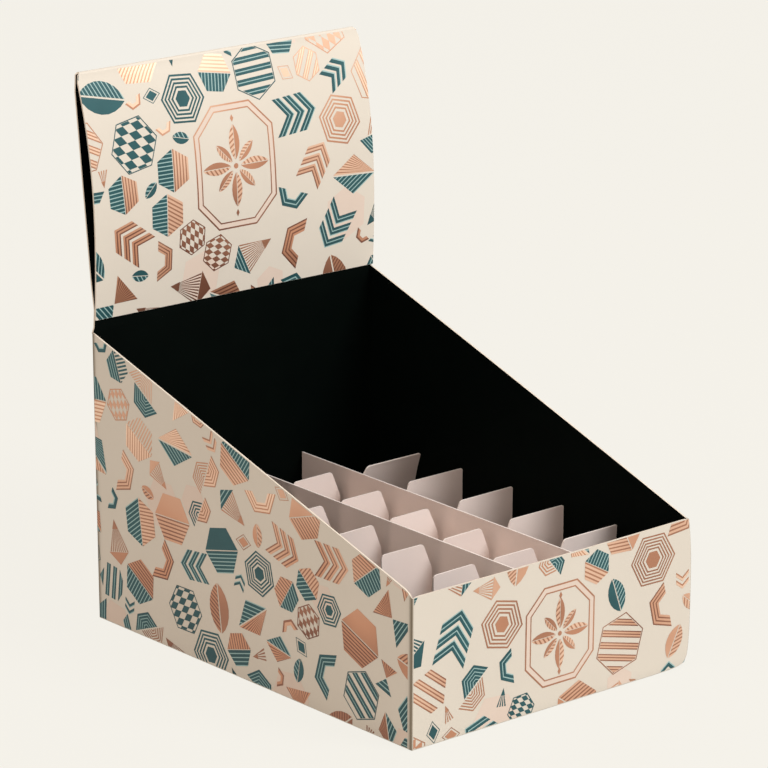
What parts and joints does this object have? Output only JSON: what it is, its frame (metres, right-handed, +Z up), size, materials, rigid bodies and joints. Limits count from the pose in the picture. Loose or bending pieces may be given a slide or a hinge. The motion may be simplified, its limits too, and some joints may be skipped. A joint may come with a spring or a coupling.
{
  "type": "counter display box",
  "caption": "Folded card display box with a low front, diagonal sides, a tall folded-over header and a slotted card insert that holds small goods upright.",
  "frame": {"origin": "centre of the underside of the base, on the surface that the box stands on", "axes": "+Z up, the low front faces -Y, +X to the right seen from the front"},
  "size_m": [0.112, 0.1595, 0.1742],
  "materials": {
    "coated_board": "cream coated board, satin, printed in copper foil and teal, black inside",
    "insert_card": "uncoated pinkish-grey card, matt"
  },
  "bodies": {
    "root": {"carton": "coated_board", "long_divider_left": "insert_card", "long_divider_right": "insert_card", "cross_card_1": "insert_card", "cross_card_2": "insert_card", "cross_card_3": "insert_card", "cross_card_4": "insert_card", "cross_card_5": "insert_card"}
  },
  "joints": []
}
